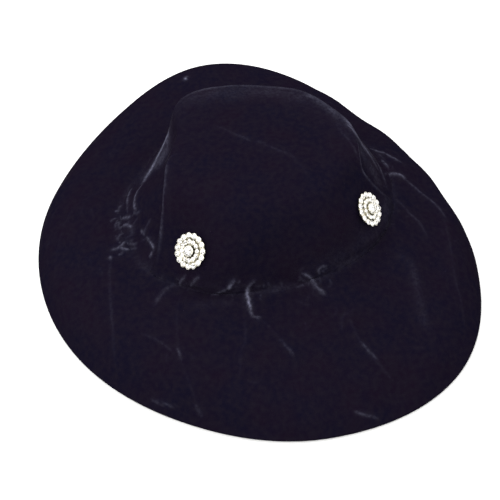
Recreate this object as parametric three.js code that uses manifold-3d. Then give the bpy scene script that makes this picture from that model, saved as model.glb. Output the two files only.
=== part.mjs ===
// A velvet pancake hat: a wide oval brim that turns down round its edge, a shallow
// draped crown sewn on to it, and two round rhinestone clips on the crown's front.
//
// Millimetres, +Z up, the front of the hat towards -Y. The hat rests on its brim.
// Angles are degrees round the crown's centre, 0 at the front and 90 at +X.

import * as THREE from 'three';
import { mergeVertices } from 'three/addons/utils/BufferGeometryUtils.js';
import Module from 'manifold-3d';

const wasm = await Module();
wasm.setup();

// Driving dimensions

const SEAM_HEIGHT = 30;        // the crown's seam above the floor
const CROWN_HEIGHT = 46;       // the crown's top above its seam
const CROWN_WALL = 2;
const BRIM_WALL = 3;
const BACK_LIFT = 26;          // how far the brim's back edge is off the floor
const BACK_LIFT_FROM = 116;    // the angle where that lift starts, on both sides
const EDGE_ROUND = 1.4;        // rounding of the brim's edge
const REST_STRIP = 2.4;        // flat strip under the brim's edge
const SEAM_BORDER = 4.5;       // brim that runs on inside the seam, under the crown's rim
const SEAM_GAP = 0.3;          // clearance between pieces that meet
const CLIP_WIDTH = 23.0;       // a clip, over its outer stones

const BRIM_COLUMNS = 108;
const CROWN_COLUMNS = 100;

// The plan of the hat at each angle: radius of the seam, of the crown's top where its
// shoulder turns over, and of the brim's edge

const PLAN = [
  { angle: -180, seam: 82.0, top: 67, edge: 146 },
  { angle: -150, seam: 77.0, top: 73.5, edge: 141 },
  { angle: -120, seam: 77.0, top: 58, edge: 144.5 },
  { angle: -90, seam: 90.0, top: 62, edge: 151 },
  { angle: -60, seam: 93.0, top: 68, edge: 159.5 },
  { angle: -30, seam: 86.0, top: 65, edge: 167 },
  { angle: 0, seam: 82.5, top: 59, edge: 178.5 },
  { angle: 30, seam: 85.0, top: 64, edge: 181.5 },
  { angle: 60, seam: 92.0, top: 70, edge: 158.5 },
  { angle: 90, seam: 95.0, top: 74, edge: 137 },
  { angle: 120, seam: 88.0, top: 72, edge: 132 },
  { angle: 150, seam: 83.0, top: 68, edge: 142 },
];

// The brim's section: share of the way from seam to edge, and the share of the seam's
// height left there, at the front and back and at the sides, which roll over more

const BRIM_SECTION = [
  { out: 0.00, front: 1.00, side: 1.00 },
  { out: 0.12, front: 0.97, side: 0.96 },
  { out: 0.28, front: 0.90, side: 0.89 },
  { out: 0.44, front: 0.80, side: 0.81 },
  { out: 0.58, front: 0.69, side: 0.73 },
  { out: 0.70, front: 0.58, side: 0.66 },
  { out: 0.80, front: 0.46, side: 0.57 },
  { out: 0.88, front: 0.33, side: 0.43 },
  { out: 0.95, front: 0.18, side: 0.23 },
  { out: 1.00, front: 0.05, side: 0.05 },
];

const BRIM_UNDERSIDE = [0.95, 0.80, 0.58, 0.28, 0.12];   // section rows of the underside

// Soft folds of the brim: each runs between two places, given as angle and share of the
// way out, and stands up by its height over its width

const BRIM_FOLDS = [
  { from: -74, fromOut: 0.24, to: -49, toOut: 0.92, height: 2.0, width: 9 },
  { from: -43, fromOut: 0.10, to: -25, toOut: 0.96, height: 2.2, width: 9 },
  { from: -49, fromOut: 0.56, to: -36, toOut: 0.61, height: 1.4, width: 7 },
  { from: -17, fromOut: 0.06, to: -18, toOut: 0.70, height: 2.4, width: 8 },
  { from: -13, fromOut: 0.22, to: -3, toOut: 0.54, height: 1.8, width: 8 },
  { from: 10, fromOut: 0.06, to: 14, toOut: 0.20, height: 2.2, width: 8 },
  { from: 16, fromOut: 0.30, to: 16, toOut: 0.80, height: 2.2, width: 8 },
  { from: 45, fromOut: 0.18, to: 30, toOut: 0.74, height: 2.0, width: 9 },
  { from: 68, fromOut: 0.10, to: 58, toOut: 0.42, height: 1.8, width: 8 },
  { from: 86, fromOut: 0.08, to: 68, toOut: 0.68, height: 2.6, width: 9 },
  { from: 101, fromOut: 0.10, to: 97, toOut: 0.40, height: 1.6, width: 8 },
  { from: -102, fromOut: 0.10, to: -96, toOut: 0.62, height: 2.0, width: 9 },
];

const FOLD_STARTS = [-0.1, 0.2];          // shares of a fold's length where it swells
const FOLD_ENDS = [0.75, 1.1];            // and where it dies away
const FOLDS_CLEAR_SEAM = [0.03, 0.15];    // shares of the way out where all folds start
const FOLDS_CLEAR_EDGE = [0.9, 1];        // and where the edge lies flat again

// The crown's profile from seam to top: share of its height, share of the way from the
// seam's plan to the top's plan, and how far that plan has shrunk to its middle

const CROWN_PROFILE = [
  { rise: 0.00, inward: 0.00, scale: 1.00 },
  { rise: 0.14, inward: 0.08, scale: 1.00 },
  { rise: 0.34, inward: 0.28, scale: 1.00 },
  { rise: 0.55, inward: 0.54, scale: 1.00 },
  { rise: 0.73, inward: 0.80, scale: 1.00 },
  { rise: 0.86, inward: 1.00, scale: 0.975 },
  { rise: 0.935, inward: 1.00, scale: 0.87 },
  { rise: 0.975, inward: 1.00, scale: 0.68 },
  { rise: 0.995, inward: 1.00, scale: 0.38 },
];
const CROWN_INNER_ROWS = [0, 1, 2, 3, 4, 6, 8];   // profile rows that the inside follows

// The two pleats that edge the crown's front panel, by profile row: the angle where each
// pleat lies, and how far the pinched side behind it stands back

const PLEATS = [
  { row: 0, left: -56, right: 68, leftBack: 1.5, rightBack: 1.0 },
  { row: 1, left: -57.5, right: 67, leftBack: 6.0, rightBack: 3.5 },
  { row: 2, left: -60, right: 66, leftBack: 9.0, rightBack: 5.0 },
  { row: 3, left: -63.5, right: 65, leftBack: 10.5, rightBack: 5.5 },
  { row: 4, left: -68.5, right: 66, leftBack: 9.0, rightBack: 5.0 },
  { row: 5, left: -77, right: 73, leftBack: 5.0, rightBack: 3.0 },
  { row: 6, left: -94, right: 92, leftBack: 1.2, rightBack: 1.0 },
  { row: 7, left: -94, right: 92, leftBack: 0.0, rightBack: 0.0 },
  { row: 8, left: -94, right: 92, leftBack: 0.0, rightBack: 0.0 },
];
const PLEAT_GUIDE = PLEATS[2];  // the row whose pleats lie on evenly spaced columns
const PLEAT_STEP = 3.4;        // degrees that a pleat's step takes
const PINCH_END = { from: 40, to: 95 };   // degrees behind the pleat where the side fills out

// Gathers of the crown along its seam: where each bunch lies and how deep its tucks are

const GATHERS = [
  { angle: -88, spread: 26, depth: 1.6 },
  { angle: -42, spread: 8, depth: 1.0 },
  { angle: -14, spread: 12, depth: 1.2 },
  { angle: 12, spread: 10, depth: 1.2 },
  { angle: 58, spread: 12, depth: 1.0 },
  { angle: 92, spread: 20, depth: 1.4 },
];
const TUCK_COLUMNS = 4;        // crown columns in one tuck
const GATHER_ROWS = 3;         // profile rows that the gathers fade over

// The clips: where each sits on the crown, and how much more the velvet under it slants
// towards the side and the top than the plain wall (as slopes)

const CLIPS = [
  { name: 'clip_left', angle: -42.9, row: 2.55, turn: 0.45, tip: -0.28 },
  { name: 'clip_right', angle: 50.3, row: 2.34, turn: -0.21, tip: -0.29 },
];
const CLIP_DRAW = 24;          // how far round a clip the velvet is drawn to its slant

// A clip's rings of stones, from the outside in
const STONE_RINGS = [
  { stones: 15, stoneRadius: 1.95, seat: 1.0 },
  { stones: 12, stoneRadius: 1.5, seat: 1.7, ringRadius: 5.8 },
  { stones: 1, stoneRadius: 3.45, seat: 2.5, ringRadius: 0 },
];
STONE_RINGS[0].ringRadius = CLIP_WIDTH / 2 - STONE_RINGS[0].stoneRadius;
const STONE_SIDES = 8;
const STONE_TABLE = 0.55;      // a stone's flat top, as a share of its radius
const STONE_CROWN = 0.5;       // height of its slanting facets, as a share of its radius
const STONE_GIRDLE = 0.35;     // height of the girdle above its seat
const STONE_ROOT = 0.4;        // how deep a stone is set into the metal
const CLIP_PROFILE = [         // half section of the domed metal back
  { radius: 0, height: 0 },
  { radius: 10.6, height: 0 },
  { radius: 10.6, height: 1.0 },
  { radius: 7.5, height: 1.0 },
  { radius: 7.3, height: 1.7 },
  { radius: 4.4, height: 1.7 },
  { radius: 4.2, height: 1.3 },
  { radius: 3.4, height: 1.3 },
  { radius: 3.2, height: 2.5 },
  { radius: 0, height: 2.5 },
];
const CLIP_SIDES = 24;
const SHANK = { radius: 1.5, sides: 8, hole: 2.0, keeperRadius: 4.5, keeperThick: 1.0 };
const CLIP_STANDOFF = 0.9;     // clip back above the crown's curved wall at its middle

// Helpers for tables and curves

const radians = THREE.MathUtils.degToRad;

function ramp(value, low, high) {
  return THREE.MathUtils.smoothstep(value, low, high);
}

function wrap(angle) {
  return THREE.MathUtils.euclideanModulo(angle + 180, 360) - 180;
}

// A smooth curve all the way round through one column of the plan
function planRadius(column, angle) {
  const step = 360 / PLAN.length;
  const place = THREE.MathUtils.euclideanModulo(angle + 180, 360) / step;
  const first = Math.floor(place);
  const value = (offset) => PLAN[(first + offset + PLAN.length) % PLAN.length][column];
  const t = place - first;
  const slopeIn = (value(1) - value(-1)) / 2;
  const slopeOut = (value(2) - value(0)) / 2;
  const bend = value(0) * (2 * t ** 3 - 3 * t ** 2 + 1) + value(1) * (3 * t ** 2 - 2 * t ** 3);
  return bend + slopeIn * (t ** 3 - 2 * t ** 2 + t) + slopeOut * (t ** 3 - t ** 2);
}

// Straight interpolation between the rows of a table
function between(table, key, at, column) {
  const last = table.length - 1;
  let low = 0;
  while (low < last - 1 && at > table[low + 1][key]) low += 1;
  const span = table[low + 1][key] - table[low][key];
  const share = THREE.MathUtils.clamp((at - table[low][key]) / span, 0, 1);
  return THREE.MathUtils.lerp(table[low][column], table[low + 1][column], share);
}

function polar(angle, radius, height) {
  const turn = radians(angle);
  return new THREE.Vector3(radius * Math.sin(turn), -radius * Math.cos(turn), height);
}

// The upward normal of a surface given as a function of angle and a second parameter
function normalOf(surface, angle, at) {
  const turnStep = 0.5;
  const step = 0.01;
  const round = surface(angle + turnStep, at).sub(surface(angle - turnStep, at));
  const along = surface(angle, Math.min(at + step, 1)).sub(surface(angle, Math.max(at - step, 0)));
  const normal = along.cross(round).normalize();
  return normal.z < 0 ? normal.negate() : normal;
}

// A closed mesh from rings of points: each ring joins the next, and the ends either meet
// (a tube bent into a loop) or close on a point each
function skin(rings, startPoint, endPoint) {
  const count = rings[0].length;
  const points = rings.flat();
  const faces = [];
  const loops = startPoint ? rings.length - 1 : rings.length;
  for (let ring = 0; ring < loops; ring += 1) {
    const next = (ring + 1) % rings.length;
    for (let k = 0; k < count; k += 1) {
      const a = ring * count + k;
      const b = ring * count + ((k + 1) % count);
      const c = next * count + k;
      const d = next * count + ((k + 1) % count);
      faces.push(a, c, b, b, c, d);
    }
  }
  if (startPoint) {
    const first = points.push(startPoint) - 1;
    const last = points.push(endPoint) - 1;
    const end = (rings.length - 1) * count;
    for (let k = 0; k < count; k += 1) {
      const next = (k + 1) % count;
      faces.push(first, k, next, last, end + next, end + k);
    }
  }
  const geometry = new THREE.BufferGeometry().setFromPoints(points);
  geometry.setIndex(faces);
  return geometry;
}

// Joining and cutting closed meshes

const SAME_POINT = 1e-4;

function toSolid(geometry) {
  const bare = new THREE.BufferGeometry();
  bare.setAttribute('position', geometry.attributes.position);
  bare.setIndex(geometry.index);
  const merged = mergeVertices(bare, SAME_POINT);
  const corners = merged.index.array;
  const kept = [];
  for (let k = 0; k < corners.length; k += 3) {
    const [a, b, c] = corners.slice(k, k + 3);
    if (a !== b && b !== c && c !== a) kept.push(a, b, c);
  }
  const vertProperties = new Float32Array(merged.attributes.position.array);
  const triVerts = new Uint32Array(kept);
  return new wasm.Manifold(new wasm.Mesh({ numProp: 3, vertProperties, triVerts }));
}

function toGeometry(solid) {
  const mesh = solid.getMesh();
  const geometry = new THREE.BufferGeometry();
  geometry.setAttribute('position', new THREE.BufferAttribute(new Float32Array(mesh.vertProperties), 3));
  geometry.setIndex([...mesh.triVerts]);
  return geometry;
}

// A turned solid about Z from a half section that starts and ends on the axis
function turned(profile, sides) {
  const points = profile.map((p) => new THREE.Vector2(p.radius, p.height));
  return new THREE.LatheGeometry(points, sides).rotateX(Math.PI / 2);
}

// The brim

function edgeHeight(angle) {
  return BACK_LIFT * ramp(Math.abs(wrap(angle)), BACK_LIFT_FROM, 180);
}

function brimBase(angle, out) {
  const seam = planRadius('seam', angle);
  const radius = THREE.MathUtils.lerp(seam, planRadius('edge', angle), out);
  const sideways = Math.sin(radians(angle)) ** 2;
  const front = between(BRIM_SECTION, 'out', out, 'front');
  const side = between(BRIM_SECTION, 'out', out, 'side');
  const edge = edgeHeight(angle);
  return polar(angle, radius, edge + (SEAM_HEIGHT - edge) * THREE.MathUtils.lerp(front, side, sideways));
}

// Height of the folds at a place: a rounded ridge across the line of each fold, which
// fades in and out at its ends
function foldHeight(angle, out) {
  const here = brimBase(angle, out);
  let height = 0;
  for (const fold of BRIM_FOLDS) {
    const start = brimBase(fold.from, fold.fromOut);
    const run = brimBase(fold.to, fold.toOut).sub(start);
    const length = run.length();
    const offset = here.clone().sub(start);
    const along = offset.dot(run) / length / length;
    const across = offset.sub(run.multiplyScalar(along)).length();
    const ends = ramp(along, ...FOLD_STARTS) * (1 - ramp(along, ...FOLD_ENDS));
    height += fold.height * ends * Math.exp(-((across / fold.width * 2) ** 2));
  }
  return height;
}

function brimPoint(angle, out, depth) {
  const clear = ramp(out, ...FOLDS_CLEAR_SEAM) * (1 - ramp(out, ...FOLDS_CLEAR_EDGE));
  const lift = foldHeight(angle, out) * clear;
  return brimBase(angle, out).addScaledVector(normalOf(brimBase, angle, out), lift - depth);
}

function ringOf(columns, point) {
  return Array.from({ length: columns }, (_, k) => point(k * 360 / columns - 180));
}

function makeBrim() {
  const rings = [];
  const inner = (angle) => planRadius('seam', angle) - SEAM_BORDER;
  const addRing = (point) => rings.push(ringOf(BRIM_COLUMNS, point));
  addRing((angle) => polar(angle, inner(angle), SEAM_HEIGHT));
  for (const { out } of BRIM_SECTION) addRing((angle) => brimPoint(angle, out, 0));
  const strip = [EDGE_ROUND / 2, EDGE_ROUND / 2 + REST_STRIP];
  for (const inset of strip) {
    addRing((angle) => polar(angle, planRadius('edge', angle) - inset, edgeHeight(angle)));
  }
  for (const out of BRIM_UNDERSIDE) addRing((angle) => brimPoint(angle, out, BRIM_WALL));
  addRing((angle) => polar(angle, inner(angle), SEAM_HEIGHT - BRIM_WALL));
  return skin(rings);
}

// The crown

// How the velvet is drawn out or in round each clip, so that it slants under it
function clipDraw(angle, row, radius) {
  const rowHeight = (CROWN_PROFILE[3].rise - CROWN_PROFILE[2].rise) * CROWN_HEIGHT;
  return CLIPS.reduce((sum, clip) => {
    const across = radians(wrap(angle - clip.angle)) * radius;
    const up = (row - clip.row) * rowHeight;
    const near = Math.exp(-(across ** 2 + up ** 2) / CLIP_DRAW ** 2) * ramp(row, 0, 1);
    return sum + (clip.turn * across + clip.tip * up) * near;
  }, 0);
}

// The smooth loft of the crown, without pleats and gathers
function crownLoft(angle, share) {
  const row = share * (CROWN_PROFILE.length - 1);
  const low = Math.min(Math.floor(row), CROWN_PROFILE.length - 2);
  const mix = (column) =>
    THREE.MathUtils.lerp(CROWN_PROFILE[low][column], CROWN_PROFILE[low + 1][column], row - low);
  const plan = THREE.MathUtils.lerp(planRadius('seam', angle), planRadius('top', angle), mix('inward'));
  const radius = plan * mix('scale') + clipDraw(angle, row, plan);
  return polar(angle, radius, SEAM_HEIGHT + SEAM_GAP + CROWN_HEIGHT * mix('rise'));
}

// How far the crown stands back behind its pleats
function pinch(angle, row) {
  const pleat = PLEATS[row];
  const behind = (side) => {
    const past = side > 0 ? angle - pleat.right : pleat.left - angle;
    const depth = side > 0 ? pleat.rightBack : pleat.leftBack;
    return depth * ramp(past, 0, PLEAT_STEP) * (1 - ramp(past, PINCH_END.from, PINCH_END.to));
  };
  return behind(1) + behind(-1);
}

// Depth of the gathers: tucks a few columns wide, bunched in places, fading up the wall
function gatherDepth(angle, column, row) {
  const tuck = (1 - Math.cos(column * 2 * Math.PI / TUCK_COLUMNS)) / 2;
  const fade = Math.max(0, 1 - row / GATHER_ROWS) * (row > 0 ? 1 : 0.5);
  const bunch = GATHERS.reduce(
    (sum, g) => sum + g.depth * Math.exp(-(((angle - g.angle) / g.spread) ** 2)), 0);
  return tuck * fade * bunch;
}

function crownPoint(angle, column, row, depth) {
  const share = row / (CROWN_PROFILE.length - 1);
  const point = crownLoft(angle, share).addScaledVector(normalOf(crownLoft, angle, share), -depth);
  const back = pinch(angle, row) + gatherDepth(angle, column, row);
  return point.sub(polar(angle, back, 0));
}

// Columns follow the pleats: at each row the same column lies on the pleat
function columnAngle(column, row) {
  const pleat = PLEATS[row];
  const even = column * 360 / CROWN_COLUMNS - 180;
  const fixed = [
    { even: -180, angle: -180 },
    { even: PLEAT_GUIDE.left - PLEAT_STEP, angle: pleat.left - PLEAT_STEP },
    { even: PLEAT_GUIDE.left, angle: pleat.left },
    { even: PLEAT_GUIDE.right, angle: pleat.right },
    { even: PLEAT_GUIDE.right + PLEAT_STEP, angle: pleat.right + PLEAT_STEP },
    { even: 180, angle: 180 },
  ];
  return between(fixed, 'even', even, 'angle');
}

function crownRing(row, depth) {
  return Array.from({ length: CROWN_COLUMNS }, (_, column) =>
    crownPoint(columnAngle(column, row), column, row, depth));
}

function makeCrown() {
  const outer = CROWN_PROFILE.map((_, row) => crownRing(row, 0)).reverse();
  const inner = CROWN_INNER_ROWS.map((row) => crownRing(row, CROWN_WALL));
  inner[0].forEach((point) => point.setZ(SEAM_HEIGHT + SEAM_GAP));
  const crest = SEAM_HEIGHT + SEAM_GAP + CROWN_HEIGHT;
  const top = new THREE.Vector3(0, 0, crest);
  const under = top.clone().setZ(crest - CROWN_WALL);
  return skin([...outer, ...inner], top, under);
}

// The clips

// Where a clip sits: a frame on the crown's wall, with Z straight out of it
function clipFrame({ angle, row }) {
  const share = row / (CROWN_PROFILE.length - 1);
  const out = normalOf(crownLoft, angle, share);
  const side = new THREE.Vector3(0, 0, 1).cross(out).normalize();
  const up = out.clone().cross(side);
  const seat = crownLoft(angle, share).addScaledVector(out, CLIP_STANDOFF);
  return new THREE.Matrix4().makeBasis(side, up, out).setPosition(seat);
}

function makeStone({ stoneRadius, seat }) {
  const girdle = seat + STONE_GIRDLE;
  return turned([
    { radius: 0, height: seat - STONE_ROOT },
    { radius: stoneRadius * STONE_TABLE, height: seat - STONE_ROOT },
    { radius: stoneRadius, height: girdle },
    { radius: stoneRadius * STONE_TABLE, height: girdle + stoneRadius * STONE_CROWN },
    { radius: 0, height: girdle + stoneRadius * STONE_CROWN },
  ], STONE_SIDES);
}

function makeClip() {
  let clip = toSolid(turned(CLIP_PROFILE, CLIP_SIDES));
  for (const ring of STONE_RINGS) {
    for (let k = 0; k < ring.stones; k += 1) {
      const place = polar(k * 360 / ring.stones, ring.ringRadius, 0);
      clip = clip.add(toSolid(makeStone(ring).translate(place.x, place.y, 0)));
    }
  }
  const reach = CLIP_STANDOFF + CROWN_WALL + CLIP_STANDOFF + SEAM_GAP;
  const shank = turned([
    { radius: 0, height: -reach - SHANK.keeperThick },
    { radius: SHANK.keeperRadius, height: -reach - SHANK.keeperThick },
    { radius: SHANK.keeperRadius, height: -reach },
    { radius: SHANK.radius, height: -reach },
    { radius: SHANK.radius, height: STONE_ROOT },
    { radius: 0, height: STONE_ROOT },
  ], SHANK.sides);
  return toGeometry(clip.add(toSolid(shank)));
}

function shankHole(clip) {
  const reach = 3 * CROWN_WALL;
  const hole = turned([
    { radius: 0, height: -reach },
    { radius: SHANK.hole, height: -reach },
    { radius: SHANK.hole, height: reach },
    { radius: 0, height: reach },
  ], SHANK.sides);
  return toSolid(hole.applyMatrix4(clipFrame(clip)));
}

// The hat

const velvet = { color: 0x1b1927, roughness: 0.9, metalness: 0 };
const rhinestone = { color: 0xf4f1ea, roughness: 0.15, metalness: 0.6 };

function piece(name, geometry, finish) {
  const mesh = new THREE.Mesh(geometry, new THREE.MeshStandardMaterial(finish));
  mesh.name = name;
  geometry.computeVertexNormals();
  return mesh;
}

const hat = new THREE.Group();
hat.add(piece('brim', makeBrim(), velvet));

const crown = CLIPS.reduce((solid, clip) => solid.subtract(shankHole(clip)), toSolid(makeCrown()));
hat.add(piece('crown', toGeometry(crown), velvet));

for (const clip of CLIPS) {
  const mesh = piece(clip.name, makeClip(), rhinestone);
  clipFrame(clip).decompose(mesh.position, mesh.quaternion, mesh.scale);
  hat.add(mesh);
}

// The hat's origin is on the floor, under the middle of its brim
const middle = new THREE.Box3().setFromObject(hat).getCenter(new THREE.Vector3());
hat.position.set(-middle.x, -middle.y, 0);

export default hat;
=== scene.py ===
# %% [markdown]
# # A velvet pancake hat
# The hat has a wide oval brim that turns down round its edge, a shallow draped crown with
# a pleat on each side, and two round rhinestone clips on the crown's front. The frame holds
# its plain solids, already at their real size and place. This lesson makes the fine velvet
# and the cut stones over them, and then lights the hat and sets a camera on it.

# %% Load the frame
import math
from collections import namedtuple

import bpy
import numpy as np
from mathutils import Matrix


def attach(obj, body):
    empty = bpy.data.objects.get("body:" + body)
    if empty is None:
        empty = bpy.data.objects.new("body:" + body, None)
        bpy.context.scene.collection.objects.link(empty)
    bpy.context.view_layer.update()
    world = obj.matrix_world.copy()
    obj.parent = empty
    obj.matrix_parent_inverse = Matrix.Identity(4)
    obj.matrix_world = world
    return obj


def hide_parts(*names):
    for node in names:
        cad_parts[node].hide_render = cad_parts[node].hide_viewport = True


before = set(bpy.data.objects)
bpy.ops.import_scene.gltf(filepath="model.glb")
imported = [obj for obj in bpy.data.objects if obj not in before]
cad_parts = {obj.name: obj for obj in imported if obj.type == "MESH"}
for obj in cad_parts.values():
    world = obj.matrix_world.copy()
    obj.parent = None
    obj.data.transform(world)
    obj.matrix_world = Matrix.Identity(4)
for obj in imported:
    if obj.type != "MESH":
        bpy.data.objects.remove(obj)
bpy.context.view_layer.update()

# %% [markdown]
# ## Working in millimetres round the crown's centre
# A hat is easiest to describe as a milliner measures it: by an angle round the crown, 0 at
# the front and 90 at the right, and a distance from the middle. The crown's highest point
# lies on that middle line, so its place in the frame tells where the middle is. All shapes
# below are worked out in millimetres about it, and become metres as they go into a mesh.

# %% The middle of the crown
MM = 0.001


def node_points(name):
    """All corners of a solid of the frame, in millimetres."""
    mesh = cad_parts[name].data
    flat = np.empty(len(mesh.vertices) * 3)
    mesh.vertices.foreach_get("co", flat)
    return flat.reshape(-1, 3) / MM


crown_corners = node_points("crown")
MIDDLE = crown_corners[crown_corners[:, 2].argmax()] * (1, 1, 0)
print("middle of the crown, mm:", MIDDLE.round(2))

# %% [markdown]
# ## Curves through a few measured rows
# Each shape starts from a short table of measurements. A cubic between two rows, with a
# slope at each row taken from its neighbours, gives a smooth line through all of them, so a
# dozen numbers are enough for the whole outline. One version runs all the way round, the
# other from the first row to the last.

# %% Smooth curves and steps


def ease(value, low, high):
    """A soft step: 0 up to low, 1 from high on, and 3t² - 2t³ in between."""
    t = np.clip((value - low) / (high - low), 0, 1)
    return t * t * (3 - 2 * t)


def cubic(t, start, end, slope_start, slope_end):
    """The cubic that has these two values and these two slopes at t = 0 and t = 1."""
    bend = start * (2 * t**3 - 3 * t**2 + 1) + end * (3 * t**2 - 2 * t**3)
    return bend + slope_start * (t**3 - 2 * t**2 + t) + slope_end * (t**3 - t**2)


def round_curve(values, angle):
    """A closed curve through values at equal steps from -180 degrees round to 180."""
    place = (angle + 180) % 360 / (360 / len(values))
    first = np.floor(place).astype(int)
    before, start, end, after = (np.take(values, first + k, mode="wrap") for k in (-1, 0, 1, 2))
    return cubic(place - first, start, end, (end - before) / 2, (after - start) / 2)


def open_curve(places, values, at):
    """A curve through values at rising places, with np.gradient's slopes at the rows."""
    slopes = np.gradient(values, places)
    at = np.clip(at, places[0], places[-1])
    k = np.clip(np.searchsorted(places, at, side="right") - 1, 0, len(places) - 2)
    span = (places[1:] - places[:-1])[k]
    t = (at - places[k]) / span
    return cubic(t, values[k], values[k + 1], slopes[k] * span, slopes[k + 1] * span)


def polar(angle, radius, height):
    """A point from its angle round the crown, its distance from the middle and its height."""
    turn = np.radians(angle)
    return np.stack(np.broadcast_arrays(radius * np.sin(turn), -radius * np.cos(turn), height), -1)


def wrapped(angle):
    """The same angle between -180 and 180 degrees."""
    return (angle + 180) % 360 - 180


def unit(vectors):
    """Vectors scaled to length 1."""
    return vectors / np.maximum(np.linalg.norm(vectors, axis=-1, keepdims=True), 1e-12)


# %% The plan of the hat
# Columns: angle, radius of the seam, of the crown's shoulder and of the brim's edge
PLAN = np.array([
    (-180, 82.0, 67.0, 146.0),
    (-150, 77.0, 73.5, 141.0),
    (-120, 77.0, 58.0, 144.5),
    (-90, 90.0, 62.0, 151.0),
    (-60, 93.0, 68.0, 159.5),
    (-30, 86.0, 65.0, 167.0),
    (0, 82.5, 59.0, 178.5),
    (30, 85.0, 64.0, 181.5),
    (60, 92.0, 70.0, 158.5),
    (90, 95.0, 74.0, 137.0),
    (120, 88.0, 72.0, 132.0),
    (150, 83.0, 68.0, 142.0),
])
SEAM, SHOULDER, EDGE = PLAN[:, 1], PLAN[:, 2], PLAN[:, 3]
SEAM_HEIGHT = 30
print("brim from", EDGE.min(), "to", EDGE.max(), "mm from the crown's middle")

# %% [markdown]
# ## Skins from rings of points
# Every shell here is a stack of rings with the same number of points. Neighbouring rings
# are joined by four-cornered faces, and the stack either runs back into itself, like the
# brim's tube, or ends in a point at each pole, like the crown. Whole arrays go into the
# mesh at once, which is far quicker than adding points one by one.

# %% From arrays to a mesh
NO_FOURS = np.empty((0, 4), int)
NO_THREES = np.empty((0, 3), int)


def add_object(name, data):
    """A new object at the origin, linked to the scene."""
    made = bpy.data.objects.new(name, data)
    bpy.context.scene.collection.objects.link(made)
    return made


def make_piece(name, points, faces_of_four, faces_of_three, materials, smooth=True):
    """A mesh object at the origin from points in millimetres about the crown's middle."""
    mesh = bpy.data.meshes.new(name)
    mesh.vertices.add(len(points))
    mesh.vertices.foreach_set("co", ((points + MIDDLE) * MM).astype(np.float32).ravel())
    corners = np.concatenate([faces_of_four.ravel(), faces_of_three.ravel()])
    sizes = np.repeat([4, 3], [len(faces_of_four), len(faces_of_three)])
    mesh.loops.add(len(corners))
    mesh.loops.foreach_set("vertex_index", corners.astype(np.int32))
    mesh.polygons.add(len(sizes))
    mesh.polygons.foreach_set("loop_start", (np.cumsum(sizes) - sizes).astype(np.int32))
    mesh.polygons.foreach_set("use_smooth", np.full(len(sizes), smooth))
    mesh.update(calc_edges=True)
    mesh.validate()
    for material in materials:
        mesh.materials.append(material)
    piece = add_object(name, mesh)
    print(name, len(mesh.vertices), "points,", int((sizes - 2).sum()), "triangles")
    return piece


def ring_faces(rings, columns, closed):
    """Corner numbers of the faces between neighbouring rings, and back to the first if closed."""
    ring = np.arange(rings if closed else rings - 1)[:, None]
    column = np.arange(columns)[None, :]
    here = ring * columns
    there = (ring + 1) % rings * columns
    after = (column + 1) % columns
    corners = here + column, there + column, there + after, here + after
    return np.stack(np.broadcast_arrays(*corners), -1).reshape(-1, 4)


def pole_faces(columns, rings):
    """Three-cornered faces that close the first and last ring on the two points after them."""
    column = np.arange(columns)
    after = (column + 1) % columns
    first = np.full(columns, rings * columns)
    end = (rings - 1) * columns
    start_fan = np.stack([first, column, after], -1)
    end_fan = np.stack([first + 1, end + after, end + column], -1)
    return np.concatenate([start_fan, end_fan])


def write_attribute(piece, name, values):
    """Stores one number for each point of a piece, for its material to read."""
    attribute = piece.data.attributes.new(name, "FLOAT", "POINT")
    attribute.data.foreach_set("value", values.astype(np.float32).ravel())


# %% [markdown]
# ## Folds, crushed pile and painted light
# Velvet over a soft foundation shows where it has been folded: a low ridge, steeper on one
# side, and along its crest the pile is crushed and catches the light. A fold could be
# sculpted by hand, but here each is a line across the cloth with a height and a width. For
# every point near that line its distance is found, and a ridge that falls away with the
# distance is added. The crushed pile is kept as a number at each point, which the velvet's
# material turns into a lighter streak. The same number also carries painted highlights that
# stand in for sheen along crests and outlines, and painted light that lifts shade.

# %% Ridges along lines
STREAK = 0.8
Fold = namedtuple("Fold", "path height width crush streak", defaults=[STREAK])
LINE_STEP = 2.5
LEAST_POINTS = 4


def smooth_line(path, surface):
    """Points every LINE_STEP or so along a smooth curve through a fold's rows, laid on a
    surface that is given as a function of the two columns of the path."""
    rows = np.array(path, float)
    places = np.arange(len(rows), dtype=float)
    ends = surface(rows[:, 0], rows[:, 1])
    length = np.linalg.norm(np.diff(ends, axis=0), axis=1).sum()
    at = np.linspace(0, places[-1], max(LEAST_POINTS, round(length / LINE_STEP)))
    return surface(open_curve(places, rows[:, 0], at), open_curve(places, rows[:, 1], at))


def laid_folds(folds, surface):
    """Each fold together with its line on a surface."""
    return [(fold, smooth_line(fold.path, surface)) for fold in folds]


def distance_to_line(points, normals, line):
    """For each point, its distance to a line of short straight steps, negative on the line's
    right, and how far along the line, as a share of its length, its nearest place is."""
    steps = np.diff(line, axis=0)
    lengths = np.linalg.norm(steps, axis=1)
    starts = np.cumsum(lengths) - lengths
    offset = points[:, None] - line[:-1]
    along = np.clip((offset * steps).sum(-1) / lengths**2, 0, 1)
    gap = offset - along[..., None] * steps
    nearest = np.linalg.norm(gap, axis=-1).argmin(1)
    each = np.arange(len(points))
    gap = gap[each, nearest]
    side = np.sign((np.cross(steps[nearest], gap) * normals).sum(-1))
    share = (starts[nearest] + along[each, nearest] * lengths[nearest]) / lengths.sum()
    return np.linalg.norm(gap, axis=-1) * side, share


CREST_SHARE = 0.35
LEAN = 0.4
FOLD_REACH = 4
FOLD_SWELLS = (-0.15, 0.2)
FOLD_DIES = (0.7, 1.05)
HAZE = 0.12
HAZE_REACH = 3.2


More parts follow.
